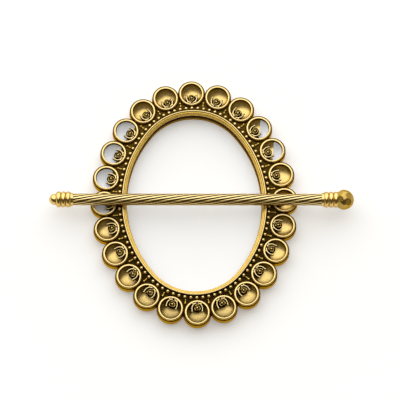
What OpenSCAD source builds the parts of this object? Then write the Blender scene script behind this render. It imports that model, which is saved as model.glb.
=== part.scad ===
// Oval curtain holdback with a loose holding stick.
// It lies on the back of its collar, with +Z out of the ornamental face and +Y
// along the long axis of the oval. The stick lies across the face, along X.
// The origin is the centre of the oval, on the plane of the collar's back.

/* [Oval opening] */
// Clear width of the opening
opening_w = 108.2; // [104:0.2:112]
// Clear height of the opening
opening_h = 146.4; // [142:0.2:151]
// Radius of the opening's top and bottom arcs
opening_end_r = 43; // [41:0.1:45]

/* [Collar moulding] */
// Width of the moulded collar round the opening
collar_w = 3.9; // [3.7:0.1:4.1]
// Height of the collar's raised outer bead above its back
collar_h = 13; // [12.6:0.1:15]
// Height of the collar's inner lip above its back
lip_h = 8.2; // [7:0.1:9]
// Radius of the raised bead along the collar's outer edge
edge_bead_r = 0.6; // [0.5:0.05:0.65]
// Radius of each reed on the collar's slope
reed_r = 0.85; // [0.75:0.05:0.9]

/* [Flange and pearls] */
// Height of the flange's back above the collar's back
flange_back_h = 4.6; // [3:0.1:5.5]
// Height of the sunk channel between collar and cups
channel_h = 10; // [9:0.1:10.4]
// Distance of the pearl row from the opening's edge
pearl_line = 5.8; // [5.6:0.05:5.9]
// Diameter of one pearl
pearl_d = 3; // [2.6:0.1:3.2]
// Number of pearls in the row
pearl_count = 92; // [60:1:96]

/* [Cups] */
// Number of cups round the oval
cup_count = 24; // [20:1:24]
// Distance of the cup centres from the opening's edge
cup_line = 18; // [18:0.1:19]
// Radius of a cup's rim, to the middle of its wire
cup_rim_r = 9.4; // [9.2:0.05:9.6]
// Radius of the round wire that forms the rim
rim_wire_r = 0.7; // [0.65:0.05:0.85]
// Height of the rim wire's middle above the collar's back
rim_h = 11.5; // [11.2:0.1:12]
// How far the cup's foot flares past its rim
cup_flare = 1.2; // [0.8:0.1:1.3]
// Depth of the hollow dish below the rim
dish_depth = 4.4; // [3.8:0.1:4.8]

/* [Rosettes] */
// Distance of a rosette's middle from its cup's middle, towards the opening
rose_offset = 3.6; // [3.3:0.1:3.8]
// Radius of the rosette's outer petal, to the middle of its roll
petal_r = 2.5; // [2.4:0.05:2.6]
// Height of the rosette's petals above the collar's back
rose_h = 11; // [10.6:0.1:11.4]
// Radius of the rosette's middle ball
eye_r = 0.8; // [0.7:0.05:0.9]
// Radius of the curled leaf that holds the rose, to the middle of its wall
leaf_r = 4.1; // [3.9:0.05:4.2]

/* [Stick] */
// Length of the stick over its two ends
stick_len = 243; // [236:0.5:260]
// Distance of the stick's middle from the oval's middle, to the right
stick_shift = 5.7; // [0:0.1:10]
// Angle of the stick to the oval's short axis
stick_turn = -1.2; // [-4:0.1:4]
// Diameter of the twisted shaft over its strands
shaft_d = 9.4; // [9:0.1:10]
// Number of strands round the shaft
strand_count = 12; // [8:1:14]
// Length of one full turn of the strands
strand_lead = 141; // [100:1:240]
// Depth of the valleys between the strands
strand_depth = 0.55; // [0.3:0.05:0.7]
// Outer diameter of the ring mouldings near the ends
ring_d = 12.8; // [12:0.1:14]
// Distance from one ring moulding to the next
ring_pitch = 3.8; // [3.6:0.1:4.2]
// Diameter of the domed button at the left end
button_d = 8.8; // [8:0.1:9.6]
// Diameter of the faceted knob at the right end
knob_d = 16; // [15:0.1:17]
// Clearance of the stick above the collar that it rests on
stick_gap = 0.1; // [0.05:0.05:0.3]

/* [Hidden] */
$fn = 36;

// Corners of the flat flange's outline, and fineness of long sweeps and small rounds
outline_steps = 96;
sweep_fn = 180;
small_fn = 16;
// Angle by which each length of the collar's moulding ends short of its seam
seam_angle = 0.02;

// The oval is four arcs that meet smoothly, and every line along it runs parallel
half_w = opening_w / 2;
half_h = opening_h / 2;
end_c = half_h - opening_end_r;
side_r = (end_c * end_c + half_w * half_w - opening_end_r * opening_end_r)
    / (2 * (half_w - opening_end_r));
side_c = side_r - half_w;
side_half = atan2(end_c, side_c);
end_half = 90 - side_half;

// Length of a line that runs parallel to the opening's edge, and of its arcs
function arc_len(angle, r) = angle * PI / 180 * r;
function side_len(d) = arc_len(2 * side_half, side_r + d);
function end_len(d) = arc_len(2 * end_half, opening_end_r + d);
function oval_len(d) = 2 * (side_len(d) + end_len(d));

// Spot at a run s along a quarter of the line, from the top down the right side
function quarter_turn(s, d) =
    let (lead = end_len(d) / 2)
    s < lead ? 90 - s / (opening_end_r + d) * 180 / PI
             : side_half - (s - lead) / (side_r + d) * 180 / PI;
function quarter_spot(s, d) =
    let (a = quarter_turn(s, d))
    s < end_len(d) / 2
        ? [(opening_end_r + d) * cos(a), end_c + (opening_end_r + d) * sin(a), a]
        : [(side_r + d) * cos(a) - side_c, (side_r + d) * sin(a), a];

// The other three quarters mirror the first
function oval_spot(s, d) =
    let (q = oval_len(d) / 4, i = floor(s / q), p = quarter_spot(i % 2 == 0 ? s - i * q : (i + 1) * q - s, d))
    i == 0 ? p : i == 1 ? [p.x, -p.y, -p.z] : i == 2 ? [-p.x, -p.y, 180 + p.z] : [-p.x, p.y, 180 - p.z];

// Puts a shape at even steps along a line, with its +X out of the oval
module along_oval(count, d, start_share = 0) {
    for (i = [0 : count - 1]) {
        spot = oval_spot((i + start_share) * oval_len(d) / count, d);
        translate([spot.x, spot.y, 0]) rotate([0, 0, spot.z]) children();
    }
}

// Sweeps a section round the oval, with x as the distance from the opening's
// edge and y as the height. The four lengths end a hair short of each other.
module oval_sweep() {
    for (side = [0, 180]) {
        rotate([0, 0, side]) translate([-side_c, 0, 0]) rotate([0, 0, seam_angle - side_half])
            rotate_extrude(angle = 2 * (side_half - seam_angle), $fn = sweep_fn)
                translate([side_r, 0]) children();
        rotate([0, 0, side]) translate([0, end_c, 0]) rotate([0, 0, seam_angle + side_half])
            rotate_extrude(angle = 2 * (end_half - seam_angle), $fn = sweep_fn)
                translate([opening_end_r, 0]) children();
    }
}

// Collar: the outer bead stands highest, and two reeds step down to the inner lip
edge_bead = [collar_w - edge_bead_r, collar_h - edge_bead_r];
slope_top = [collar_w - 2 * edge_bead_r, collar_h - edge_bead_r];
slope_run = slope_top - [0, lip_h];
slope_normal = 90 + atan2(slope_run.y, slope_run.x);
reed_shares = [0.3, 0.7];
reed_sink = 0.35 * reed_r;

module collar_section() {
    polygon([[0, 0], [collar_w, 0], [collar_w, edge_bead.y], slope_top, [0, lip_h]]);
    translate(edge_bead) circle(r = edge_bead_r, $fn = small_fn);
    for (share = reed_shares)
        translate(slope_top - share * slope_run - reed_sink * [cos(slope_normal), sin(slope_normal)])
            circle(r = reed_r, $fn = small_fn);
}

// Outline of a flat plate whose edge runs parallel to the opening's edge
function oval_outline(d) = [for (i = [0 : outline_steps - 1])
    let (spot = oval_spot((i + 0.5) * oval_len(0) / outline_steps, 0))
        [spot.x + d * cos(spot.z), spot.y + d * sin(spot.z)]];

module flange() {
    translate([0, 0, flange_back_h]) linear_extrude(channel_h - flange_back_h) difference() {
        polygon(oval_outline(cup_line));
        polygon(oval_outline(collar_w / 2));
    }
}

// Cups: a flared foot, a hollow dish and a round wire rim
rim_out_r = cup_rim_r + rim_wire_r;
foot_r = rim_out_r + cup_flare;
cup_top_r = cup_rim_r + rim_wire_r / 3;
dish_r = cup_rim_r - rim_wire_r / 2;
dish_ball_r = (dish_r * dish_r + dish_depth * dish_depth) / (2 * dish_depth);

// Height of the dish at a distance from its middle
function dish_h(r) = rim_h - dish_depth + dish_ball_r - sqrt(dish_ball_r * dish_ball_r - r * r);

module cup_foot() {
    translate([0, 0, flange_back_h]) cylinder(h = rim_h - flange_back_h, r1 = foot_r, r2 = cup_top_r);
}
module cup_dish() {
    translate([0, 0, rim_h - dish_depth + dish_ball_r]) sphere(r = dish_ball_r);
}
module cup_rim() {
    translate([0, 0, rim_h]) wire_arc(cup_rim_r, rim_wire_r, 360);
}

// A round wire bent to an arc, flat at its two ends
module wire_arc(r, wire_r, angle) {
    rotate_extrude(angle = angle) translate([r, 0]) circle(r = wire_r, $fn = small_fn);
}

// Rosettes: an open rolled petal round a bud with a ball, in a curled leaf with balls
// at its two tips
petal_roll_r = 0.5;
petal_angles = [20, 340];
bud_r = 0.58 * petal_r;
bud_rise = 0.3 * petal_roll_r;
// The leaf's roll clears the dish where it comes nearest to the cup's rim, and
// a hairline keeps the balls clear of the ends of the leaf
leaf_wall = 0.7;
leaf_roll_r = 0.45;
leaf_h = dish_h(rose_offset + leaf_r + leaf_roll_r) + leaf_roll_r;
tip_angle = 57;
tip_r = 0.8;
hairline = 0.1;
leaf_start = tip_angle + (tip_r + hairline) / leaf_r * 180 / PI;
stem_foot_h = (flange_back_h + rim_h - dish_depth) / 2;
stem_h = rose_h - 0.6 * petal_roll_r - stem_foot_h;

module petals() {
    translate([0, 0, stem_foot_h]) cylinder(h = stem_h, r = petal_r);
    translate([0, 0, rose_h]) rotate([0, 0, petal_angles[0]])
        wire_arc(petal_r, petal_roll_r, petal_angles[1] - petal_angles[0]);
    translate([0, 0, stem_foot_h]) cylinder(h = rose_h + bud_rise - stem_foot_h, r = bud_r);
    translate([0, 0, rose_h + bud_rise]) sphere(r = eye_r, $fn = small_fn);
}
module leaf_section() {
    translate([leaf_r - leaf_wall / 2, stem_foot_h]) square([leaf_wall, leaf_h - stem_foot_h]);
    translate([leaf_r, leaf_h]) circle(r = leaf_roll_r, $fn = small_fn);
}
module leaf_tip() {
    translate([leaf_r, 0, stem_foot_h]) {
        cylinder(h = leaf_h - stem_foot_h, r = 0.7 * tip_r, $fn = small_fn);
        translate([0, 0, leaf_h - stem_foot_h]) sphere(r = tip_r, $fn = small_fn);
    }
}
module leaf() {
    rotate([0, 0, leaf_start]) rotate_extrude(angle = 360 - 2 * leaf_start) leaf_section();
    for (side = [-1, 1]) rotate([0, 0, side * tip_angle]) leaf_tip();
}
module rosette() {
    translate([-rose_offset, 0, 0]) {
        petals();
        leaf();
    }
}

// Between two cups a drop points outwards from the pearls, turned as on a lathe
drop_r = 1.3;
drop_start = pearl_line + pearl_d;
drop_len = 3.8;
drop_tip_r = 0.6;
drop_cone_shares = [0.85, 0.6];

module drop_section() {
    intersection() {
        union() {
            circle(r = drop_r, $fn = small_fn);
            polygon([[0, 0], [drop_cone_shares[0] * drop_r, 0],
                     [drop_cone_shares[1] * drop_tip_r, drop_len], [0, drop_len]]);
            translate([0, drop_len]) circle(r = drop_tip_r, $fn = small_fn);
        }
        translate([0, -drop_r]) square([drop_r, drop_len + drop_r + drop_tip_r]);
    }
}
module drop() {
    translate([drop_start - cup_line, 0, channel_h]) rotate([0, 90, 0])
        rotate_extrude($fn = small_fn) drop_section();
}
module pearl() {
    translate([0, 0, channel_h + pearl_d / 3]) sphere(d = pearl_d, $fn = small_fn);
}

module cup_band() {
    difference() {
        union() {
            flange();
            along_oval(cup_count, cup_line) cup_foot();
        }
        along_oval(cup_count, cup_line) cup_dish();
    }
}

module frame() {
    color("goldenrod") union() {
        cup_band();
        oval_sweep() collar_section();
        along_oval(cup_count, cup_line) cup_rim();
        along_oval(cup_count, cup_line) rosette();
        along_oval(cup_count, cup_line, 0.5) drop();
        along_oval(pearl_count, pearl_line) pearl();
    }
}

// Stick: it is drawn upright from its left end and then laid along X
ring_count = 3;
ring_wire_r = 0.58 * ring_pitch;
ring_line_r = ring_d / 2 - ring_wire_r;
button_neck = 0.62 * button_d;
left_rings = button_neck + 0.55 * ring_pitch;
knob_middle = stick_len - knob_d / 2;
right_rings = knob_middle - 0.4 * knob_d - (ring_count - 1) * ring_pitch;
taper_len = ring_pitch;
core_r = shaft_d / 2;
taper_r = 1.06 * core_r;
taper_foot_r = ring_d / 2.2;
rings_len = (ring_count - 1) * ring_pitch;
shaft_start = left_rings + rings_len;
shaft_end = right_rings;
neck_r = 0.9 * ring_d / 2;
button_neck_r = 0.43 * button_d;
strand_steps = 3;
turn_per_slice = 12;

// Outline of the shaft: round strands with sharp valleys between them
function strand_r(share) = core_r - strand_depth * (1 - sin(180 * share));
shaft_outline = [for (i = [0 : strand_count - 1], j = [0 : strand_steps - 1])
    let (share = j / strand_steps, a = 360 * (i + share) / strand_count)
        strand_r(share) * [cos(a), sin(a)]];

module shaft() {
    run = shaft_end - shaft_start;
    turn = 360 * run / strand_lead;
    translate([0, 0, shaft_start])
        linear_extrude(run, twist = turn, slices = ceil(turn / turn_per_slice))
            polygon(shaft_outline);
}
module rings(start) {
    for (i = [0 : ring_count - 1])
        translate([0, 0, start + i * ring_pitch])
            rotate_extrude() translate([ring_line_r, 0]) circle(r = ring_wire_r, $fn = small_fn);
    translate([0, 0, start]) cylinder(h = rings_len, r = ring_line_r + ring_wire_r / 4);
}
// Flat facets are cut on a ball in two staggered rows
facet_count = 8;
facet_tilt = 26;
facet_depth = 0.06 * knob_d / 2;

module facet_cut() {
    translate([knob_d / 2 - facet_depth, -knob_d / 2, -knob_d / 2]) cube(knob_d);
}
module knob() {
    translate([0, 0, knob_middle]) difference() {
        sphere(d = knob_d);
        for (i = [0 : facet_count - 1], row = [-1, 1])
            rotate([0, row * facet_tilt, 360 * (i + row / 4) / facet_count]) facet_cut();
    }
}
module stick() {
    color("darkgoldenrod")
    translate([0, 0, collar_h + shaft_d / 2 + stick_gap]) rotate([0, 0, stick_turn])
        translate([stick_shift - stick_len / 2, 0, 0]) rotate([0, 90, 0]) union() {
            translate([0, 0, button_d / 2]) sphere(d = button_d);
            translate([0, 0, button_d / 2]) cylinder(h = left_rings - button_d / 2, r = button_neck_r);
            rings(left_rings);
            translate([0, 0, shaft_start]) cylinder(h = taper_len, r1 = taper_foot_r, r2 = taper_r);
            shaft();
            translate([0, 0, shaft_end - taper_len]) cylinder(h = taper_len, r1 = taper_r, r2 = taper_foot_r);
            rings(right_rings);
            translate([0, 0, right_rings]) cylinder(h = knob_middle - right_rings, r = neck_r);
            knob();
        }
}

frame();
stick();
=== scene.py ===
from math import atan2, ceil, cos, floor, pi, radians, sin, sqrt

import bpy
from bpy.props import FloatProperty, FloatVectorProperty, IntProperty, PointerProperty
from mathutils import Matrix, Vector
from mathutils.bvhtree import BVHTree


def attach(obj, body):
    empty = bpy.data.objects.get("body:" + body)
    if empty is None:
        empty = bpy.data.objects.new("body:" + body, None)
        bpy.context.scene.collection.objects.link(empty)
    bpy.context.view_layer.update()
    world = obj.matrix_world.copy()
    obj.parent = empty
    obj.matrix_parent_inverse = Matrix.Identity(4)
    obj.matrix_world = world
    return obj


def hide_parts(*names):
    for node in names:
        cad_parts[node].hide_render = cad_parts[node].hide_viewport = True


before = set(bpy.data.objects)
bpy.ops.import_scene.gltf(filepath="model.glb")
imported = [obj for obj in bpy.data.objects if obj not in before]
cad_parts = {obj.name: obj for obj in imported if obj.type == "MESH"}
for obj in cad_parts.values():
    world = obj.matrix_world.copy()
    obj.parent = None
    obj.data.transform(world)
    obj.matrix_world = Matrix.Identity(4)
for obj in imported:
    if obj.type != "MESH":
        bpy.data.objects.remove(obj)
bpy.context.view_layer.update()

bl_info = {
    "name": "Oval Curtain Holdback",
    "version": (1, 0, 0),
    "blender": (4, 5, 0),
    "location": "View3D > Sidebar > Holdback",
    "description": "Models an oval ring of flower cups and its loose stick in antique gold",
    "category": "Object",
}

BODY = "root"
FULL_TURN = 2 * pi
Z_AXIS = (0, 0, 1)


def length(name, description, default):
    """A property that holds a length in metres."""
    return FloatProperty(name=name, description=description, default=default, unit="LENGTH", precision=5)


def angle(name, description, degrees):
    """A property that holds an angle, given in degrees."""
    return FloatProperty(name=name, description=description, default=radians(degrees), unit="ROTATION")


def share(name, description, default):
    """A property that holds a plain number."""
    return FloatProperty(name=name, description=description, default=default)


def number(name, description, default):
    """A property that holds a count."""
    return IntProperty(name=name, description=description, default=default, min=1)


def colour(name, description, default):
    """A property that holds a linear colour."""
    return FloatVectorProperty(name=name, description=description, default=default, subtype="COLOR")


class CollarSizes(bpy.types.PropertyGroup):
    opening_w: length("Opening width", "Clear width of the opening", 0.1082)
    opening_h: length("Opening height", "Clear height of the opening", 0.1464)
    opening_end_r: length("End radius", "Radius of the opening's top and bottom arcs", 0.043)
    width: length("Collar width", "Width of the moulded collar", 0.0039)
    height: length("Collar height", "Height of the outer bead above the back", 0.013)
    lip_h: length("Lip height", "Height of the inner lip above the back", 0.0082)
    bead_r: length("Bead radius", "Radius of the raised outer bead", 0.0006)
    reed_r: length("Reed radius", "Radius of each reed on the slope", 0.00085)
    steps: number("Steps", "Faces along the whole oval", 288)


class ChannelSizes(bpy.types.PropertyGroup):
    back_h: length("Back height", "Height of the flange's back", 0.0046)
    floor_h: length("Channel height", "Height of the sunk channel", 0.010)
    pearl_line: length("Pearl line", "Distance of the pearls from the opening's edge", 0.0058)
    pearl_d: length("Pearl size", "Diameter of one pearl", 0.0031)
    pearl_count: number("Pearls", "Number of pearls in the row", 92)
    drop_r: length("Drop radius", "Radius of the round end of a drop, by the cups", 0.0010)
    drop_len: length("Drop length", "Distance from a drop's tip to its round end", 0.0026)
    drop_tip_r: length("Drop tip", "Radius of a drop's tip, by the pearls", 0.0008)


class CupSizes(bpy.types.PropertyGroup):
    count: number("Cups", "Number of cups round the oval", 24)
    line: length("Cup line", "Distance of the cups from the opening's edge", 0.018)
    rim_r: length("Rim radius", "Radius of the rim, to the middle of its wire", 0.0094)
    wire_r: length("Wire radius", "Radius of the rim's wire", 0.0008)
    crest_in: length("Crest inset", "Distance of the rim's crest inside the wire's middle", 0.0005)
    lip_in: length("Inner lip", "Distance from the rim's crest to its inner edge", 0.0007)
    rim_h: length("Rim height", "Height of the rim's middle above the back", 0.0115)
    back_h: length("Foot height", "Height of the cup's foot above the back", 0.0050)
    flare: length("Foot flare", "How far the foot flares past the rim", 0.0010)
    dish_depth: length("Dish depth", "Depth of the dish below the rim", 0.0044)
    segments: number("Segments", "Faces round one cup", 56)


class RosetteSizes(bpy.types.PropertyGroup):
    offset: length("Offset", "Distance from the cup's middle towards the opening", 0.0037)
    petal_r: length("Petal radius", "Radius of the outer petal", 0.0026)
    petal_wire_r: length("Petal edge", "Radius of a petal's raised edge", 0.00036)
    turns: share("Turns", "Turns of the rolled petal", 1.6)
    lobes: share("Lobes", "Lobes of the petal in one turn", 3.4)
    lobe_rise: length("Lobe rise", "How far a lobe rises above the petal's edge", 0.00035)
    rise: length("Rise", "Height of the middle above the outer petal", 0.0006)
    height: length("Height", "Height of the petals above the back", 0.0116)
    eye_r: length("Eye radius", "Radius of the middle ball", 0.0009)
    leaf_r: length("Leaf radius", "Radius of the two leaves round the rose", 0.0039)
    leaf_wire_r: length("Leaf wire", "Radius of a leaf's raised edge", 0.0006)
    # The leaf's sunk wall is painted dark, as the shade under its edge.
    leaf_drop: length("Leaf wall", "How far the leaf's dark wall lies below its edge", 0.0007)
    tip_r: length("Tip radius", "Radius of the ball on a leaf's tip", 0.0009)
    tip_angle: angle("Tip angle", "Angle of a leaf's tip from the outward direction", 57)
    bead_angle: angle("Bead angle", "Angle of the balls inside the rim from the inward direction", 24)


class StickSizes(bpy.types.PropertyGroup):
    length: length("Stick length", "Length over both ends", 0.243)
    shift: length("Shift", "Distance of the stick's middle to the right", 0.0057)
    turn: angle("Turn", "Angle of the stick to the oval's short axis", -1.2)
    shaft_d: length("Shaft size", "Diameter of the shaft over its strands", 0.0094)
    strands: number("Strands", "Number of strands round the shaft", 12)
    lead: length("Lead", "Length of one full turn of the strands", 0.141)
    strand_depth: length("Valley depth", "Depth of the valleys between strands", 0.00035)
    ring_d: length("Ring size", "Outer diameter of the ring mouldings", 0.0128)
    ring_pitch: length("Ring pitch", "Distance from one ring to the next", 0.0038)
    button_d: length("Button size", "Diameter of the domed button", 0.0088)
    knob_d: length("Knob size", "Diameter of the faceted knob", 0.016)
    gap: length("Clearance", "Clearance above the collar", 0.0001)


class FinishColours(bpy.types.PropertyGroup):
    gold: colour("Gold", "Gold of the open faces", (0.65, 0.405, 0.04))
    # Paler gold that stands both for wear on crests and for painted highlight, in the dishes and on faces that look
    # up.
    worn_and_sheen: colour("Worn gold", "Paler gold on rubbed edges", (0.90, 0.75, 0.41))
    # The dark colour serves both for waxed hollows and for painted shade.
    wax_and_shade: colour("Wax", "Dark wax that stays in the hollows", (0.070, 0.040, 0.005))
    # Colour of a pale, non-metal, rougher patch in six of the dishes.
    pale: colour("Pale patch", "Pale patch in some of the dishes", (0.86, 0.89, 0.93))


class StageSettings(bpy.types.PropertyGroup):
    mm_per_pixel: length("Pixel size", "Size of one picture pixel at the ring", 0.0008)
    middle_x: share("Middle across", "Picture pixel of the oval's middle, from the left", 194.4)
    middle_y: share("Middle down", "Picture pixel of the oval's middle, from the top", 201.8)
    distance: length("Distance", "Distance from the camera to the ring", 2.0)
    tilt: angle("Tilt", "Lean of the camera from straight above", 16.6)
    azimuth: angle("Azimuth", "Turn of the camera round the upright", -5)
    roll: angle("Roll", "Roll of the camera about its view", 3.7)
    floor_size: length("Floor", "Width of the floor", 6)
    floor_colour: colour("Floor colour", "Colour of the floor", (0.84, 0.85, 0.865))
    floor_glow: share("Floor glow", "Light that seen floor adds to what falls on it", 0.25)
    sky_axis: FloatVectorProperty(name="Sky", description="Where the light comes from", default=(-0.12, 0.79, 0.6))
    spread: share("Sky spread", "How much the lit sky fades to the left and right", 0.2)
    bright: share("Bright sky", "Strength of the sky on the lit side", 1.8)
    dim: share("Dim sky", "Strength of the sky on the other side", 0.13)
    dim_colour: colour("Dim colour", "Colour of the dim sky", (1, 0.82, 0.5))
    sides: share("Horizon", "Strength of the light along the horizon", 1.0)


class Holdback(bpy.types.PropertyGroup):
    collar: PointerProperty(type=CollarSizes)
    channel: PointerProperty(type=ChannelSizes)
    cup: PointerProperty(type=CupSizes)
    rosette: PointerProperty(type=RosetteSizes)
    stick: PointerProperty(type=StickSizes)
    finish: PointerProperty(type=FinishColours)
    stage: PointerProperty(type=StageSettings)


def sizes():
    """All the sizes and colours, kept on the scene."""
    return bpy.context.scene.holdback


class Oval:
    """The opening's outline: four arcs that meet smoothly. Lines along it run parallel to it."""

    def __init__(self, s):
        self.half_w, self.half_h, self.end_r = s.opening_w / 2, s.opening_h / 2, s.opening_end_r
        self.end_c = self.half_h - self.end_r
        across = self.end_c**2 + self.half_w**2 - self.end_r**2
        self.side_r = across / (2 * (self.half_w - self.end_r))
        self.side_c = self.side_r - self.half_w
        self.side_half = atan2(self.end_c, self.side_c)
        self.end_half = pi / 2 - self.side_half

    def quarter(self, d):
        """Length of a quarter of the line at distance d from the edge."""
        return self.side_half * (self.side_r + d) + self.end_half * (self.end_r + d)

    def place(self, run_share, d):
        """Matrix that puts a piece on the line, with its +X out of the oval."""
        quarter = self.quarter(d)
        run = (run_share % 1) * 4 * quarter
        turn = floor(run / quarter)
        s = run - turn * quarter if turn % 2 == 0 else (turn + 1) * quarter - run
        lead = self.end_half * (self.end_r + d)
        if s < lead:
            a = pi / 2 - s / (self.end_r + d)
            x, y = (self.end_r + d) * cos(a), self.end_c + (self.end_r + d) * sin(a)
        else:
            a = self.side_half - (s - lead) / (self.side_r + d)
            x, y = (self.side_r + d) * cos(a) - self.side_c, (self.side_r + d) * sin(a)
        x, y, a = [(x, y, a), (x, -y, -a), (-x, -y, pi + a), (-x, y, pi - a)][turn]
        return Matrix.Translation((x, y, 0)) @ Matrix.Rotation(a, 4, "Z")

    def distance(self, spot):
        """How far a point lies outside the opening's edge."""
        x, y = abs(spot[0]), abs(spot[1])
        if atan2(y, x + self.side_c) < self.side_half:
            return sqrt((x + self.side_c) ** 2 + y**2) - self.side_r
        return sqrt(x**2 + (y - self.end_c) ** 2) - self.end_r

    def arcs(self):
        """Centre and angle of each arc, from the top round to the top again."""
        return [
            ((0, self.end_c, 0), self.end_half),
            ((self.side_c, 0, 0), 2 * self.side_half),
            ((0, -self.end_c, 0), 2 * self.end_half),
            ((-self.side_c, 0, 0), 2 * self.side_half),
            ((0, self.end_c, 0), self.end_half),
        ]


def alone(ob):
    """Leaves ob as the only selected object, and the active one."""
    bpy.ops.object.select_all(action="DESELECT")
    ob.select_set(True)
    bpy.context.view_layer.objects.active = ob
    return ob


def added(add, name, **values):
    """Adds a primitive with nothing else selected, and names it."""
    bpy.ops.object.select_all(action="DESELECT")
    add(**values)
    ob = bpy.context.object
    ob.name = ob.data.name = name
    return ob


def outline(name, points):
    """A closed line through points, shaped from a circle."""
    ob = added(bpy.ops.mesh.primitive_circle_add, name, vertices=len(points), radius=0.01)
    for vertex, point in zip(ob.data.vertices, points):
        vertex.co = point
    return ob


def closed_up():
    """Merges what coincides, closes open ends and turns all faces outwards, in edit mode."""
    bpy.ops.mesh.select_all(action="SELECT")
    bpy.ops.mesh.remove_doubles(threshold=1e-6)
    bpy.ops.mesh.delete_loose()
    bpy.ops.mesh.select_all(action="SELECT")
    bpy.ops.mesh.fill_holes(sides=0)
    bpy.ops.mesh.select_all(action="SELECT")
    bpy.ops.mesh.normals_make_consistent(inside=False)


def swept(name, section, oval, steps):
    """Spins a closed section of (distance from the opening's edge, height) round the oval."""
    ob = alone(outline(name, [(0, oval.half_h + x, z) for x, z in section]))
    bpy.ops.object.mode_set(mode="EDIT")
    bpy.ops.mesh.select_all(action="SELECT")
    for centre, turn in oval.arcs():
        bpy.ops.mesh.spin(steps=max(2, ceil(steps * turn / FULL_TURN)), angle=-turn, center=centre, axis=Z_AXIS)
    closed_up()
    bpy.ops.object.mode_set(mode="OBJECT")
    return ob


def turned(name, points, segments):
    """Turns a line of (radius, height) about Z, as on a lathe."""
    ob = alone(outline(name, [(r, 0, z) for r, z in points]))
    bpy.ops.object.mode_set(mode="EDIT")
    bpy.ops.mesh.select_all(action="SELECT")
    bpy.ops.mesh.spin(steps=segments, angle=FULL_TURN, center=(0, 0, 0), axis=Z_AXIS)
    closed_up()
    bpy.ops.object.mode_set(mode="OBJECT")
    return ob


def arc(centre, r, start, end, steps):
    """Points of an arc in a section, its two ends included; angles are in degrees."""
    turns = [radians(start + (end - start) * i / steps) for i in range(steps + 1)]
    return [(centre[0] + r * cos(a), centre[1] + r * sin(a)) for a in turns]


def ball(name, r, place, segments=16):
    """A round ball at a place."""
    return added(
        bpy.ops.mesh.primitive_uv_sphere_add, name,
        segments=segments, ring_count=segments // 2 + 1, radius=r, location=place,
    )


def wire(name, points, radii, sides=3):
    """A round wire through points, thinner or thicker as radii say."""
    ob = added(bpy.ops.curve.primitive_nurbs_path_add, name)
    line = ob.data.splines[0]
    line.points.add(len(points) - len(line.points))
    line.type = "POLY"
    for spot, point, r in zip(line.points, points, radii):
        spot.co = (*point, 1)
        spot.radius = r
    ob.location = (0, 0, 0)
    ob.data.bevel_depth = 1
    ob.data.bevel_resolution = sides
    ob.data.use_fill_caps = True
    ob.data.twist_mode = "Z_UP"
    bpy.ops.object.convert(target="MESH")
    ob.name = ob.data.name = name
    return ob


def settled(ob):
    """Bakes the object's place into its mesh, so that it sits at the origin."""
    alone(ob)
    bpy.ops.object.transform_apply(location=True, rotation=True, scale=True)
    return ob


def joined(name, parts):
    """Joins several meshes into one."""
    for ob in parts:
        settled(ob)
    bpy.ops.object.select_all(action="DESELECT")
    for ob in parts:
        ob.select_set(True)
    bpy.context.view_layer.objects.active = parts[0]
    bpy.ops.object.join()
    ob = parts[0]
    ob.name = ob.data.name = name
    return ob


def tidied(ob):
    """Merges what coincides in a finished mesh and turns its faces outwards."""
    alone(ob)
    bpy.ops.object.mode_set(mode="EDIT")
    closed_up()
    bpy.ops.object.mode_set(mode="OBJECT")
    return ob


def smoothed(ob, degrees=40):
    """Smooth shading, with creases kept sharp."""
    alone(ob)
    bpy.ops.object.shade_smooth_by_angle(angle=radians(degrees))
    return ob


def copies(name, master, places):
    """Copies a master to each place, each copy with its own mesh, and joins them."""
    made = []
    for place in places:
        one = master.copy()
        one.data = master.data.copy()
        one.data.transform(place)
        bpy.context.collection.objects.link(one)
        made.append(one)
    bpy.data.objects.remove(master)
    return joined(name, made)


def store(ob, name, values):
    """Keeps one number for each vertex under a name that materials read."""
    layer = ob.data.attributes.new(name, "FLOAT", "POINT")
    layer.data.foreach_set("value", values)


FEEL_RAYS = 28
REACHES = {"hollow": 0.0045, "crease": 0.0011}


def soup(parts, places=(Matrix.Identity(4),)):
    """Corners and faces of some meshes, each at every place."""
    corners, faces = [], []
    for ob in parts:
        for place in places:
            start = len(corners)
            corners += [place @ v.co for v in ob.data.vertices]
            faces += [[start + i for i in p.vertices] for p in ob.data.polygons]
    return corners, faces


def sky(count):
    """Directions spread over a half ball, more of them near its top."""
    golden = pi * (3 - sqrt(5))
    rays = []
    for i in range(count):
        up = sqrt((i + 0.5) / count)
        out = sqrt(1 - up * up)
        rays.append(Vector((out * cos(golden * i), out * sin(golden * i), up)))
    return rays


def feel_hollows(ob, around, names=tuple(REACHES), repeats=1):
    """Stores how closely the faces round each vertex shut it in, from 0 to 1, at a far and a near reach.

    Of a joined row of like copies only the first is felt, and the others get the same."""
    tree = BVHTree.FromPolygons(*around)
    rays = sky(FEEL_RAYS)
    shut = {name: [] for name in names}
    far = max(REACHES.values())
    nudge = min(REACHES.values()) / 100
    for v in ob.data.vertices[:len(ob.data.vertices) // repeats]:
        turn = v.normal.to_track_quat("Z", "Y").to_matrix()
        start = v.co + v.normal * nudge
        hits = [tree.ray_cast(start, turn @ ray, far)[3] for ray in rays]
        for name in names:
            reach = REACHES[name]
            near = [1 - 0.5 * hit / reach for hit in hits if hit is not None and hit < reach]
            shut[name].append(sum(near) / len(rays))
    for name, values in shut.items():
        store(ob, name, values * repeats)


def shade_and_highlight_by_facing(ob, top, side, power=1.0, rub=0.8):
    """Stores painted shade that grows the more a vertex faces away from the top, from top to side, and a painted
    highlight of paler gold on the faces that look up.
    """
    faces_up = [max(0.0, v.normal.z) for v in ob.data.vertices]
    store(ob, "crease", [top + (side - top) * (1 - up) ** power for up in faces_up])
    store(ob, "rub", [rub * up**3 for up in faces_up])
    return ob


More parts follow.
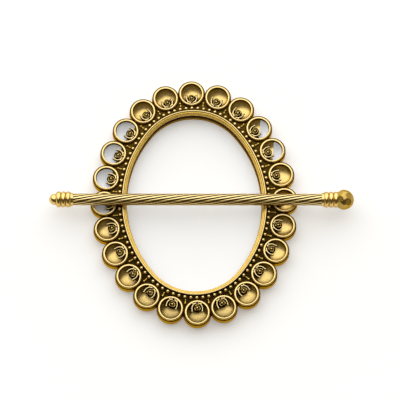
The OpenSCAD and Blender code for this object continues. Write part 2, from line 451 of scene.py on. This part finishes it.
def paint(ob, spots, section, **layers):
    """Gives each vertex the values of the point of the section that lies nearest its spot."""
    points = [Vector(point) for point in section]
    nearest = [min(range(len(points)), key=lambda i: (points[i] - spot).length) for spot in spots]
    for name, values in layers.items():
        store(ob, name, [values[i] for i in nearest])


def finished(ob, material, stands_for=None):
    """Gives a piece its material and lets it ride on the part."""
    ob.data.materials.clear()
    ob.data.materials.append(material)
    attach(ob, BODY)
    if stands_for:
        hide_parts(stands_for)
    return ob


class Nodes:
    """A short way to place and link nodes in a tree."""

    def __init__(self, tree):
        self.tree = tree

    def add(self, kind, inputs=None, **settings):
        made = self.tree.nodes.new(kind)
        for key, value in settings.items():
            setattr(made, key, value)
        for key, value in (inputs or {}).items():
            if isinstance(value, bpy.types.NodeSocket):
                self.tree.links.new(value, made.inputs[key])
            else:
                made.inputs[key].default_value = value
        return made

    def math(self, operation, *values):
        made = self.add("ShaderNodeMath", dict(enumerate(values)), operation=operation)
        return made.outputs[0]

    def step(self, value, low, high, start=0.0, end=1.0):
        """Goes smoothly from start to end as value goes from low to high."""
        inputs = {"Value": value, "From Min": low, "From Max": high, "To Min": start, "To Max": end}
        made = self.add("ShaderNodeMapRange", inputs, interpolation_type="SMOOTHSTEP")
        return made.outputs["Result"]

    def mix(self, share, first, second):
        """Mixes two colours."""
        inputs = {"Factor": share, "A": first, "B": second}
        made = self.add("ShaderNodeMix", None, data_type="RGBA")
        for key, value in inputs.items():
            socket = next(s for s in made.inputs if s.name == key and s.enabled)
            if isinstance(value, bpy.types.NodeSocket):
                self.tree.links.new(value, socket)
            else:
                socket.default_value = value
        return next(s for s in made.outputs if s.enabled)


def opaque(rgb):
    """A colour with full alpha."""
    return (*rgb, 1.0)


def gold_with_wax_and_painted_light():
    """The shared node group: gold that is waxed in its hollows, with painted shade that darkens it to near black
    towards the bottom of the oval and in the deepest creases, and paler gold that is wear on crests and painted
    highlight.
    """
    name = "Gold with wax and painted light"
    if name in bpy.data.node_groups:
        return bpy.data.node_groups[name]
    group = bpy.data.node_groups.new(name, "ShaderNodeTree")
    for label, kind, value in (
        ("Gold", "NodeSocketColor", None),
        ("Worn", "NodeSocketColor", None),
        ("Wax", "NodeSocketColor", None),
        ("Wax start", "NodeSocketFloat", 0.25),
        ("Wax end", "NodeSocketFloat", 0.6),
        ("Grain", "NodeSocketFloat", 900.0),
        ("Polish", "NodeSocketFloat", 0.0),
    ):
        made = group.interface.new_socket(label, in_out="INPUT", socket_type=kind)
        if value is not None:
            made.default_value = value
    for label, kind in (
        ("Color", "NodeSocketColor"),
        ("Metallic", "NodeSocketFloat"),
        ("Roughness", "NodeSocketFloat"),
        ("Height", "NodeSocketFloat"),
    ):
        group.interface.new_socket(label, in_out="OUTPUT", socket_type=kind)
    n = Nodes(group)
    given = n.add("NodeGroupInput").outputs
    place = n.add("ShaderNodeTexCoord").outputs["Object"]
    hollow = n.add("ShaderNodeAttribute", attribute_name="hollow").outputs["Fac"]
    patches = n.add("ShaderNodeTexNoise", {"Vector": place, "Scale": 160.0, "Detail": 3.0}).outputs["Fac"]
    grain = n.add("ShaderNodeTexNoise", {"Vector": place, "Scale": given["Grain"], "Detail": 4.0}).outputs["Fac"]
    uneven = n.math("MULTIPLY_ADD", n.math("SUBTRACT", patches, 0.5), 0.35, hollow)
    uneven = n.math("MULTIPLY_ADD", n.math("SUBTRACT", grain, 0.5), 0.15, uneven)
    crease = n.add("ShaderNodeAttribute", attribute_name="crease").outputs["Fac"]
    lines = n.step(n.math("MULTIPLY_ADD", n.math("SUBTRACT", grain, 0.5), 0.12, crease), 0.14, 0.5)
    rub = n.add("ShaderNodeAttribute", attribute_name="rub").outputs["Fac"]
    # The dark mask: waxed hollows, and painted shade where the crease attribute holds it.
    wax_and_shade = n.math("MAXIMUM", lines, n.step(uneven, given["Wax start"], given["Wax end"]))
    # Painted shade: the dark colour turns near black towards the bottom of the oval (low Y) and in the deepest
    # creases.
    low = n.step(n.add("ShaderNodeSeparateXYZ", {"Vector": place}).outputs["Y"], 0.06, -0.06)
    painted_shade = n.math("MAXIMUM", n.math("MULTIPLY", low, 0.75), n.step(crease, 0.5, 1.0, 0.0, 0.85))
    shaded_wax = n.mix(painted_shade, given["Wax"], opaque((0.004, 0.002, 0.0003)))
    # Paler gold share: wear on crests, and painted highlight in the dishes, on the stick and on faces that look up.
    rubbed = n.math("MAXIMUM", rub, n.step(uneven, 0.2, -0.02, 0.0, 0.08))
    dulled = n.mix(n.step(patches, 0.35, 0.7, 0.0, 0.2), given["Gold"], given["Wax"])
    open_gold = n.mix(rubbed, dulled, given["Worn"])
    colour_out = n.mix(wax_and_shade, open_gold, shaded_wax)
    rough = n.math("MULTIPLY_ADD", wax_and_shade, 0.3, n.step(grain, 0.3, 0.7, 0.17, 0.3))
    rough = n.math("SUBTRACT", rough, given["Polish"])
    out = n.add("NodeGroupOutput")
    group.links.new(colour_out, out.inputs["Color"])
    group.links.new(n.step(wax_and_shade, 0.2, 1.0, 1.0, 0.9), out.inputs["Metallic"])
    group.links.new(rough, out.inputs["Roughness"])
    group.links.new(n.math("MULTIPLY_ADD", patches, 2.0, grain), out.inputs["Height"])
    return group


EDGE_TINT = (0.75, 0.5, 0.2)


def gilt(name, wax_start=0.25, wax_end=0.6, polish=0.0, bump=0.25, pale=False):
    """Antique gold, with the share of wax that a piece holds."""
    if name in bpy.data.materials:
        return bpy.data.materials[name]
    finish = sizes().finish
    material = bpy.data.materials.new(name)
    material.use_nodes = True
    tree = material.node_tree
    shader = tree.nodes["Principled BSDF"]
    n = Nodes(tree)
    coat = n.add("ShaderNodeGroup", node_tree=gold_with_wax_and_painted_light())
    coat.inputs["Gold"].default_value = opaque(finish.gold)
    coat.inputs["Worn"].default_value = opaque(finish.worn_and_sheen)
    coat.inputs["Wax"].default_value = opaque(finish.wax_and_shade)
    coat.inputs["Wax start"].default_value = wax_start
    coat.inputs["Wax end"].default_value = wax_end
    coat.inputs["Polish"].default_value = polish
    relief = n.add(
        "ShaderNodeBump", {"Height": coat.outputs["Height"], "Strength": bump, "Distance": 0.0001}
    )
    tree.links.new(relief.outputs["Normal"], shader.inputs["Normal"])
    base, metal, rough = (coat.outputs[k] for k in ("Color", "Metallic", "Roughness"))
    # A pale patch in six dishes replaces the gold there: not metal, and rougher.
    if pale:
        edge = n.add("ShaderNodeAttribute", attribute_name="pale").outputs["Fac"]
        patch = n.step(edge, -0.0001, 0.0001)
        base = n.mix(patch, base, opaque(finish.pale))
        metal = n.math("MULTIPLY", metal, n.math("SUBTRACT", 1.0, patch))
        rough = n.math("MULTIPLY_ADD", patch, 0.4, rough)
    tree.links.new(base, shader.inputs["Base Color"])
    tree.links.new(metal, shader.inputs["Metallic"])
    tree.links.new(rough, shader.inputs["Roughness"])
    shader.inputs["Specular Tint"].default_value = opaque(EDGE_TINT)
    return material


REED_SHARES = (0.3, 0.68)
REED_SINK_SHARE = 0.3
REED_SPREAD = 68
GROOVE_SHARES = (0.05, 0.49, 0.9)
GROOVE_DEPTH = 0.0003
GROOVE_WAX = (1, 1)
# Share of the inner lip wall, from its top down, that is painted dark as the shadow under the reeds.
LIP_SHADOW_SHARE = 0.42
INNER_WALL_WAX = 0.3


def collar_section(s):
    """The collar from its inner back edge, over bead, reeds and lip, anticlockwise, with the dark share and the paler
    gold share at each point: waxed grooves, a painted shadow across the top of the inner lip wall, and wear with
    painted highlight on bead and reeds.
    """
    bead = (s.width - s.bead_r, s.height - s.bead_r)
    crest = Vector((s.width - 2 * s.bead_r, s.height - s.bead_r))
    lip = Vector((0, s.lip_h))
    run = crest - lip
    normal = Vector((-run.y, run.x)).normalized()
    tilt = 90 + atan2(run.y, run.x) * 180 / pi
    points = [(0, 0), (s.width, 0), *arc(bead, s.bead_r, 0, 180, 8)]
    wax_and_shade = [INNER_WALL_WAX, 1, 0.5, 0.3, *[0] * 6, 0.25]
    rub = [0, 0, *[0.6] * 9]
    for groove, reed, depth in zip(GROOVE_SHARES, REED_SHARES, GROOVE_WAX):
        points.append(crest - groove * run - GROOVE_DEPTH * normal)
        wax_and_shade.append(depth)
        centre = crest - reed * run - REED_SINK_SHARE * s.reed_r * normal
        points += arc(centre, s.reed_r, tilt - REED_SPREAD, tilt + REED_SPREAD, 8)
        wax_and_shade += [0] * 9
        rub += [0, 0, 0, 0.2, 0.4, 0.5, 0.4, 0.2, 0, 0]
    # Painted shadow: the inner lip wall is dark from the lip down to here.
    low = Vector((0, s.lip_h * (1 - LIP_SHADOW_SHARE)))
    points += [crest - GROOVE_SHARES[-1] * run - GROOVE_DEPTH * normal, lip, low, low - Vector((0, s.reed_r))]
    wax_and_shade += [1, 1, 1, INNER_WALL_WAX]
    return points, wax_and_shade, rub + [0, 0, 0, 0]


class HOLDBACK_OT_collar(bpy.types.Operator):
    """Models the moulded collar round the opening"""

    bl_idname = "holdback.collar"
    bl_label = "Collar"

    def execute(self, context):
        s = sizes().collar
        oval = Oval(s)
        points, wax_and_shade, rub = collar_section(s)
        ob = smoothed(swept("collar", points, oval, s.steps), 30)
        spots = [Vector((oval.distance(v.co), v.co.z)) for v in ob.data.vertices]
        paint(ob, spots, points, crease=wax_and_shade, rub=rub)
        return {"FINISHED"}


BACK_STEP = 0.0002


class HOLDBACK_OT_channel(bpy.types.Operator):
    """Models the sunk flange that carries the pearls and the cups"""

    bl_idname = "holdback.channel"
    bl_label = "Channel"

    def execute(self, context):
        s, ring, cup = sizes().channel, sizes().collar, sizes().cup
        inner, outer = ring.width / 2, cup.line
        across = 16
        top = [(outer + (inner - outer) * i / across, s.floor_h) for i in range(across + 1)]
        back = s.back_h + BACK_STEP
        oval = Oval(ring)
        ob = swept("channel", [(inner, back), (outer, back), *top], oval, ring.steps)
        bore = added(
            bpy.ops.mesh.primitive_cylinder_add, "bore", vertices=cup.segments,
            radius=cup.rim_r, depth=cup.rim_h, location=(0, 0, cup.rim_h),
        )
        settled(bore)
        bores = copies("bores", bore, [oval.place(i / cup.count, cup.line) for i in range(cup.count)])
        alone(ob)
        cut = ob.modifiers.new("bores", "BOOLEAN")
        cut.object = bores
        cut.solver = "EXACT"
        bpy.ops.object.modifier_apply(modifier=cut.name)
        bpy.data.objects.remove(bores)
        smoothed(ob)
        return {"FINISHED"}


class HOLDBACK_OT_pearls(bpy.types.Operator):
    """Models the row of pearls and the drop between each two cups"""

    bl_idname = "holdback.pearls"
    bl_label = "Pearls and drops"

    def execute(self, context):
        s, ring, cup = sizes().channel, sizes().collar, sizes().cup
        oval = Oval(ring)
        pearl = smoothed(ball("pearl", s.pearl_d / 2, (0, 0, s.floor_h + s.pearl_d / 3)))
        # Painted shade on the pearl's sides and painted highlight on its top.
        shade_and_highlight_by_facing(settled(pearl), 0, 0.45, 1.6)
        copies("pearls", pearl, [oval.place(i / s.pearl_count, s.pearl_line) for i in range(s.pearl_count)])
        start = s.pearl_line + 0.8 * s.pearl_d - cup.line
        blob = arc((0, 0), s.drop_tip_r, -90, 50, 6)
        round_end = arc((0, s.drop_len), s.drop_r, -55, 90, 8)
        drop = turned("drop", [*blob, *round_end], 16)
        drop.data.transform(Matrix.Translation((start, 0, s.floor_h + 0.5 * s.drop_r)) @ Matrix.Rotation(pi / 2, 4, "Y"))
        # Painted shade on the drop's sides and painted highlight on its top.
        shade_and_highlight_by_facing(smoothed(drop, 60), 0.1, 0.6, 1.2, 0.2)
        places = [oval.place((i + 0.5) / cup.count, cup.line) for i in range(cup.count)]
        copies("drops", drop, places)
        return {"FINISHED"}


DISH_SHARE = 0.82
SEAM = 0.0004
# Painted sheen: paler gold over the dish, standing in for the light in it.
DISH_SHEEN = 0.4
RIM_WAX = [0.6, 0.5, 0.4, 0.3, 0.2, 0.1, 0, 0, 0, 0, 0, 0.05, 0.1, 0.18, 0.25, 0.4]
# Paler gold along the top of the rim's wire: wear, and painted highlight.
RIM_RUB_AND_SHEEN = [0, 0, 0, 0, 0.1, 0.4, 0.7, 0.8, 0.8, 0.7, 0.45, 0.2, 0, 0, 0, 0]


def cup_section(s):
    """One cup from the middle of its dish, up to the rim and down its foot, to the middle of its back, with wax and rub."""
    ball_r = (s.rim_r**2 + s.dish_depth**2) / (2 * s.dish_depth)
    floor_z = s.rim_h - s.dish_depth
    full = atan2(s.rim_r, ball_r - s.dish_depth)
    steps = 18
    dish = []
    for i in range(steps + 1):
        a = DISH_SHARE * full * i / steps
        dish.append((ball_r * sin(a), floor_z + ball_r * (1 - cos(a))))
    edge_r, edge_z = dish[-1]
    groove_z = edge_z - SEAM
    crest_r = s.rim_r - s.crest_in
    wire_in = crest_r - s.lip_in
    groove = [(edge_r + 0.2 * SEAM, edge_z - 0.2 * SEAM), (edge_r + 0.4 * SEAM, groove_z), (wire_in, groove_z)]
    rim = []
    for start, across, rise in ((-90, s.lip_in, 1.1 * s.wire_r), (0, s.wire_r + s.crest_in, 1.4 * s.wire_r)):
        for i in range(8):
            a = radians(start + 90 * i / 7)
            rim.append((crest_r + across * sin(a), s.rim_h + s.wire_r - rise * (1 - cos(a))))
    foot_r = s.rim_r + s.wire_r + s.flare
    seam_r = s.rim_r + s.wire_r
    seam_z = s.rim_h - 1.3 * s.wire_r
    shoulder = [(seam_r, seam_z), (seam_r + SEAM, seam_z), (seam_r + 1.1 * SEAM, seam_z + SEAM),
                (seam_r + 1.4 * SEAM, seam_z + 1.3 * SEAM)]
    top_r, top_z = seam_r + 1.8 * SEAM, seam_z + 1.1 * SEAM
    foot = []
    for i in range(7):
        t = i / 6
        foot.append((top_r + (foot_r - top_r) * t**1.5, top_z + (s.back_h - top_z) * t))
    points = dish + groove + rim + shoulder + foot + [(0, s.back_h)]
    wax_and_shade = [0] * len(dish) + [0.5, 0.7, 0.7] + RIM_WAX + [1] * len(shoulder) + [0.18] * len(foot) + [0]
    rub = [DISH_SHEEN] * (len(dish) - 3) + [0] * (len(groove) + 3) + RIM_RUB_AND_SHEEN + [0] * len(shoulder + foot) + [0]
    return points, wax_and_shade, rub


PALE_SHARES = {3: ((1, -0.1), -0.1), 4: ((1, -0.1), -0.1), **{i: (None, 0.4) for i in (18, 19, 20, 21)}}
PALE_REACH = 0.86


def pale_edge(cup_index, spot, place, s):
    """How far a vertex of a cup lies inside that cup's pale patch; below nought it is gold."""
    if cup_index not in PALE_SHARES or spot.z > s.rim_h - s.wire_r:
        return -s.rim_r
    across, start = PALE_SHARES[cup_index]
    side = spot.x if across is None else (place.to_3x3() @ spot).dot(Vector((*across, 0)).normalized())
    return min(side + start * s.rim_r, PALE_REACH * s.rim_r - Vector((spot.x, spot.y)).length)


class HOLDBACK_OT_cups(bpy.types.Operator):
    """Models the cups with their wire rims and hollow dishes"""

    bl_idname = "holdback.cups"
    bl_label = "Cups"

    def execute(self, context):
        s = sizes().cup
        oval = Oval(sizes().collar)
        points, wax_and_shade, rub = cup_section(s)
        cup = smoothed(turned("cup", points, s.segments), 50)
        paint(cup, [Vector((v.co.xy.length, v.co.z)) for v in cup.data.vertices], points, crease=wax_and_shade, rub=rub)
        places = [oval.place(i / s.count, s.line) for i in range(s.count)]
        edges = []
        for i, place in enumerate(places):
            edges += [pale_edge(i, v.co, place, s) for v in cup.data.vertices]
        cups = copies("cups", cup, places)
        store(cups, "pale", edges)
        return {"FINISHED"}


LOBE_SHARE = 0.12


class HOLDBACK_OT_rosettes(bpy.types.Operator):
    """Models the rolled roses and the leaves that hold them"""

    bl_idname = "holdback.rosettes"
    bl_label = "Rosettes"

    def execute(self, context):
        s, cup, ring, channel = sizes().rosette, sizes().cup, sizes().collar, sizes().channel
        middle = Vector((-s.offset, 0, 0))
        steps = 64
        inner_r = 1.6 * s.eye_r
        spiral, radii = [], []
        for i in range(steps + 1):
            t = i / steps
            a = FULL_TURN * s.turns * t
            lobe = cos(s.lobes * a)
            r = (inner_r + (s.petal_r - inner_r) * t) * (1 + LOBE_SHARE * lobe)
            spiral.append(middle + Vector((r * cos(a), r * sin(a), s.height + s.rise * (1 - t) + s.lobe_rise * lobe)))
            radii.append(s.petal_wire_r * (1 - 0.35 * abs(2 * t - 1) ** 3))
        # Petals and eye: painted shade on their sides, painted highlight on their tops.
        parts = [
            shade_and_highlight_by_facing(wire("petals", spiral, radii), 0.12, 1, 1, 0.35),
            shade_and_highlight_by_facing(settled(ball("eye", s.eye_r, middle + Vector((0, 0, s.height + s.rise)))), 0, 0.6, 1.6),
        ]
        wide_r, top_h, low_h = s.leaf_r - s.leaf_wire_r, s.height - 0.4 * s.rise, channel.back_h + s.rise
        stem = [(0, top_h), (s.petal_r, top_h), (wide_r, top_h - s.rise), (0.6 * wide_r, low_h), (0, low_h)]
        bud = turned("bud", stem, 24)
        bud.location = middle
        # Painted shade: the bud under the petals is dark all over.
        parts.append(shade_and_highlight_by_facing(settled(bud), 1, 1))
        for side in (1, -1):
            line, thin = [], []
            for i in range(19):
                t = i / 18
                a = s.tip_angle + (radians(172) - s.tip_angle) * t
                r = s.leaf_r + 0.0007 * (1 - t) ** 3
                line.append(middle + Vector((r * cos(a), side * r * sin(a), s.height - 0.0004 * (1 - t))))
                thin.append(s.leaf_wire_r * (0.8 + 0.4 * t))
            # Leaf edge: painted shade on its sides, painted highlight on its top.
            parts.append(shade_and_highlight_by_facing(wire("leaf", line, thin), 0, 0.7, 1.6, 0.9))
            sunk = [spot - Vector((0, 0, s.leaf_drop)) for spot in line]
            # Painted shade: the leaf's sunk wall is dark all over, for the shade under its edge.
            parts.append(shade_and_highlight_by_facing(wire("leaf_wall", sunk, [1.6 * r for r in thin]), 1, 1, 1, 0))
            tip = Vector((cos(s.tip_angle), side * sin(s.tip_angle), 0)) * (s.leaf_r + 0.0009)
            tip_ball = ball("tip", s.tip_r, middle + tip + Vector((0, 0, s.height - s.rise)), 12)
            # Tip and rim balls: painted shade on their sides, painted highlight on their tops.
            parts.append(shade_and_highlight_by_facing(settled(tip_ball), 0, 0.6, 1.6))
            bead_a = pi + side * s.bead_angle
            bead_r = cup.rim_r - cup.crest_in - cup.lip_in - 0.5 * s.tip_r
            bead = ball("rim_ball", s.tip_r, (bead_r * cos(bead_a), bead_r * sin(bead_a), cup.rim_h), 12)
            parts.append(shade_and_highlight_by_facing(settled(bead), 0, 0.6, 1.6))
        rosette = smoothed(tidied(joined("rosette", parts)), 60)
        oval = Oval(ring)
        copies("rosettes", rosette, [oval.place(i / cup.count, cup.line) for i in range(cup.count)])
        return {"FINISHED"}


RING_COUNT = 3
RING_ROUND_SHARE = 0.58
NECK_ARC = 75
STRAND_POINTS = 8
SHAFT_STEPS = 96
# Paler gold on the stick's turned ends: wear, and painted highlight.
END_RUB_AND_SHEEN = 0.45
KNOB_RUB = 0.2
KNOB_WAX = 0.27
# Paler gold along the strand crests: wear, and painted highlight.
STRAND_RUB_AND_SHEEN = 0.75
FACETS = 8
FACET_TILT = radians(26)
FACET_SHARE = 0.06


def ring_arcs(s, start):
    """The three round mouldings of one end, from the first to the last."""
    wire_r = RING_ROUND_SHARE * s.ring_pitch
    line_r = s.ring_d / 2 - wire_r
    meet = atan2(s.ring_pitch / 2, sqrt(wire_r**2 - (s.ring_pitch / 2) ** 2)) * 180 / pi
    points = []
    for i in range(RING_COUNT):
        low = -NECK_ARC if i == 0 else -meet
        high = NECK_ARC if i == RING_COUNT - 1 else meet
        points += arc((line_r, start + i * s.ring_pitch), wire_r, low, high, 12)
    return points


class HOLDBACK_OT_stick(bpy.types.Operator):
    """Models the loose stick with its strands, rings, button and knob"""

    bl_idname = "holdback.stick"
    bl_label = "Stick"

    def execute(self, context):
        s, collar_h = sizes().stick, sizes().collar.height
        core_r = s.shaft_d / 2
        rings_len = (RING_COUNT - 1) * s.ring_pitch
        left_rings = 0.62 * s.button_d + 0.55 * s.ring_pitch
        knob_z = s.length - s.knob_d / 2
        right_rings = knob_z - 0.4 * s.knob_d - rings_len
        shaft_start, shaft_end = left_rings + rings_len, right_rings
        taper_foot, taper_r, neck_r = s.ring_d / 2.2, 1.06 * core_r, 0.43 * s.button_d

        button = arc((0, s.button_d / 2), s.button_d / 2, -90, 30, 12)
        left = [*button, (neck_r, left_rings - 0.6 * s.ring_pitch), *ring_arcs(s, left_rings)]
        left += [(taper_foot, shaft_start + 0.3 * s.ring_pitch), (taper_r, shaft_start + s.ring_pitch)]
        left += [(0.9 * core_r, shaft_start + 1.1 * s.ring_pitch), (0, shaft_start + 1.1 * s.ring_pitch)]
        right = [(0, shaft_end - 1.1 * s.ring_pitch), (0.9 * core_r, shaft_end - 1.1 * s.ring_pitch)]
        right += [(taper_r, shaft_end - s.ring_pitch), (taper_foot, shaft_end - 0.3 * s.ring_pitch)]
        right += [*ring_arcs(s, right_rings), (0.45 * s.ring_d, right_rings + rings_len + 0.6 * s.ring_pitch)]
        right += [(0.45 * s.ring_d, knob_z), (0, knob_z)]
        parts = [turned("left_end", left, 48), turned("right_end", right, 48)]
        for ob in parts:
            feel_hollows(ob, soup([ob]), ("crease",))
            store(ob, "rub", [END_RUB_AND_SHEEN] * len(ob.data.vertices))

        around = s.strands * STRAND_POINTS
        line = []
        for i in range(around):
            a = FULL_TURN * i / around
            rise = sin(pi * (i % STRAND_POINTS) / STRAND_POINTS)
            r = core_r - s.strand_depth * (1 - rise)
            line.append((r * cos(a), r * sin(a), shaft_start))
        shaft = alone(outline("shaft", line))
        twist = shaft.modifiers.new("twist", "SCREW")
        run = shaft_end - shaft_start
        twist.angle = -FULL_TURN * run / s.lead
        twist.screw_offset = run
        twist.steps = twist.render_steps = SHAFT_STEPS
        bpy.ops.object.modifier_apply(modifier=twist.name)
        parts.append(tidied(shaft))
        depths = [(core_r - v.co.xy.length) / s.strand_depth for v in shaft.data.vertices]
        store(shaft, "crease", [min(1.0, max(0.0, depth)) for depth in depths])
        store(shaft, "rub", [STRAND_RUB_AND_SHEEN * (1 - min(1.0, max(0.0, depth))) for depth in depths])

        knob = ball("knob", s.knob_d / 2, (0, 0, knob_z), 48)
        settled(knob)
        bpy.ops.object.mode_set(mode="EDIT")
        for row in (-1, 1):
            for i in range(FACETS):
                a = FULL_TURN * (i + row / 4) / FACETS
                tilt = row * FACET_TILT
                normal = Vector((cos(tilt) * cos(a), cos(tilt) * sin(a), -sin(tilt)))
                spot = Vector((0, 0, knob_z)) + normal * s.knob_d / 2 * (1 - FACET_SHARE)
                bpy.ops.mesh.select_all(action="SELECT")
                bpy.ops.mesh.bisect(plane_co=spot, plane_no=normal, use_fill=True, clear_outer=True)
        bpy.ops.object.mode_set(mode="OBJECT")
        store(knob, "rub", [KNOB_RUB] * len(knob.data.vertices))
        store(knob, "crease", [KNOB_WAX] * len(knob.data.vertices))
        parts.append(knob)
        stick = joined("holding_stick", parts)
        axis_z = collar_h + core_r + s.gap
        stick.data.transform(
            Matrix.Translation((0, 0, axis_z)) @ Matrix.Rotation(s.turn, 4, "Z")
            @ Matrix.Translation((s.shift - s.length / 2, 0, 0)) @ Matrix.Rotation(pi / 2, 4, "Y")
        )
        smoothed(stick, 15)
        return {"FINISHED"}


class HOLDBACK_OT_finishes(bpy.types.Operator):
    """Feels out the hollows and puts antique gold on every piece"""

    bl_idname = "holdback.finishes"
    bl_label = "Finishes"

    def execute(self, context):
        casting = [bpy.data.objects[name] for name in ("channel", "cups", "rosettes", "drops", "collar", "pearls")]
        around = soup(casting)
        feel_hollows(bpy.data.objects["channel"], around)
        feel_hollows(bpy.data.objects["cups"], around, ("hollow",), sizes().cup.count)
        coats = {
            "collar": gilt("collar_gold", bump=0.05),
            "channel": gilt("channel_wax", -0.3, 0.2),
            "cups": gilt("cup_gold", 0.3, 0.72, polish=-0.08, pale=True),
            "rosettes": gilt("rosette_gold"),
            "drops": gilt("drop_gold"),
            "pearls": gilt("pearl_gold"),
        }
        for name, coat in coats.items():
            finished(bpy.data.objects[name], coat, "frame")
        stick = bpy.data.objects["holding_stick"]
        finished(stick, gilt("stick_gold", polish=0.13, bump=0.1), "stick")
        return {"FINISHED"}


class HOLDBACK_OT_stage(bpy.types.Operator):
    """Sets the floor, the light of the sky and the camera"""

    bl_idname = "holdback.stage"
    bl_label = "Stage"

    def execute(self, context):
        s, cup = sizes().stage, sizes().cup
        scene = context.scene
        floor_ob = added(bpy.ops.mesh.primitive_plane_add, "floor", size=s.floor_size)
        paper = bpy.data.materials.new("paper")
        paper.use_nodes = True
        paper.node_tree.nodes["Principled BSDF"].inputs["Base Color"].default_value = opaque(s.floor_colour)
        shader = paper.node_tree.nodes["Principled BSDF"]
        shader.inputs["Roughness"].default_value = 0.9
        n = Nodes(paper.node_tree)
        rays = n.add("ShaderNodeLightPath").outputs
        seen = n.math("MAXIMUM", rays["Is Camera Ray"], n.math("MAXIMUM", rays["Is Glossy Ray"], rays["Is Transmission Ray"]))
        shader.inputs["Emission Color"].default_value = (1, 1, 1, 1)
        paper.node_tree.links.new(n.math("MULTIPLY", seen, s.floor_glow), shader.inputs["Emission Strength"])
        floor_ob.data.materials.append(paper)

        world = bpy.data.worlds.new("studio")
        world.use_nodes = True
        world.node_tree.nodes["Background"].inputs["Color"].default_value = (1, 1, 1, 1)
        n = Nodes(world.node_tree)
        toward = n.add("ShaderNodeTexCoord").outputs["Generated"]
        lean = n.add("ShaderNodeVectorMath", {0: toward, 1: s.sky_axis}, operation="DOT_PRODUCT").outputs["Value"]
        aside = n.math("ABSOLUTE", n.add("ShaderNodeSeparateXYZ", {"Vector": toward}).outputs["X"])
        lean = n.math("MULTIPLY_ADD", aside, -s.spread, lean)
        lit = n.step(lean, 0.26, 0.56)
        sky = n.step(lit, 0.0, 1.0, s.dim, s.bright)
        world.node_tree.links.new(
            n.mix(lit, opaque(s.dim_colour), opaque((1, 1, 1))), world.node_tree.nodes["Background"].inputs["Color"]
        )
        height = n.add("ShaderNodeSeparateXYZ", {"Vector": toward}).outputs["Z"]
        sky = n.math("MAXIMUM", sky, n.step(height, 0.36, 0.06, 0.0, s.sides))
        world.node_tree.links.new(sky, world.node_tree.nodes["Background"].inputs["Strength"])
        scene.world = world

        camera = added(bpy.ops.object.camera_add, "camera")
        t, a = s.tilt, s.azimuth
        back = Vector((sin(t) * sin(a), -sin(t) * cos(a), cos(t)))
        right = Vector((cos(a), sin(a), 0))
        up = back.cross(right)
        across = right * cos(s.roll) + up * sin(s.roll)
        above = -right * sin(s.roll) + up * cos(s.roll)
        turn = Matrix((across, above, back)).transposed().to_4x4()
        camera.matrix_world = Matrix.Translation(Vector((0, 0, cup.rim_h)) + back * s.distance) @ turn
        picture = 400
        camera.data.lens = camera.data.sensor_width * s.distance / (picture * s.mm_per_pixel)
        camera.data.shift_x = 0.5 - s.middle_x / picture
        camera.data.shift_y = s.middle_y / picture - 0.5
        camera.data.clip_end = 20
        scene.camera = camera
        scene.view_settings.view_transform = "Standard"
        return {"FINISHED"}


class HOLDBACK_PT_panel(bpy.types.Panel):
    """Lists the pieces of the holdback"""

    bl_idname = "HOLDBACK_PT_panel"
    bl_label = "Curtain holdback"
    bl_space_type = "VIEW_3D"
    bl_region_type = "UI"
    bl_category = "Holdback"

    def draw(self, context):
        for operator in OPERATORS:
            self.layout.operator(operator.bl_idname)


GROUPS = (
    CollarSizes, ChannelSizes, CupSizes, RosetteSizes, StickSizes, FinishColours, StageSettings, Holdback,
)
OPERATORS = (
    HOLDBACK_OT_collar, HOLDBACK_OT_channel, HOLDBACK_OT_pearls, HOLDBACK_OT_cups, HOLDBACK_OT_rosettes,
    HOLDBACK_OT_stick, HOLDBACK_OT_finishes, HOLDBACK_OT_stage,
)


def register():
    for item in (*GROUPS, *OPERATORS, HOLDBACK_PT_panel):
        bpy.utils.register_class(item)
    bpy.types.Scene.holdback = PointerProperty(type=Holdback)


def unregister():
    del bpy.types.Scene.holdback
    for item in reversed((*GROUPS, *OPERATORS, HOLDBACK_PT_panel)):
        bpy.utils.unregister_class(item)


def main():
    """Makes every piece in order."""
    register()
    bpy.ops.holdback.stage()
    bpy.ops.holdback.collar()
    bpy.ops.holdback.channel()
    bpy.ops.holdback.pearls()
    bpy.ops.holdback.cups()
    bpy.ops.holdback.rosettes()
    bpy.ops.holdback.stick()
    bpy.ops.holdback.finishes()


if __name__ == "__main__":
    main()
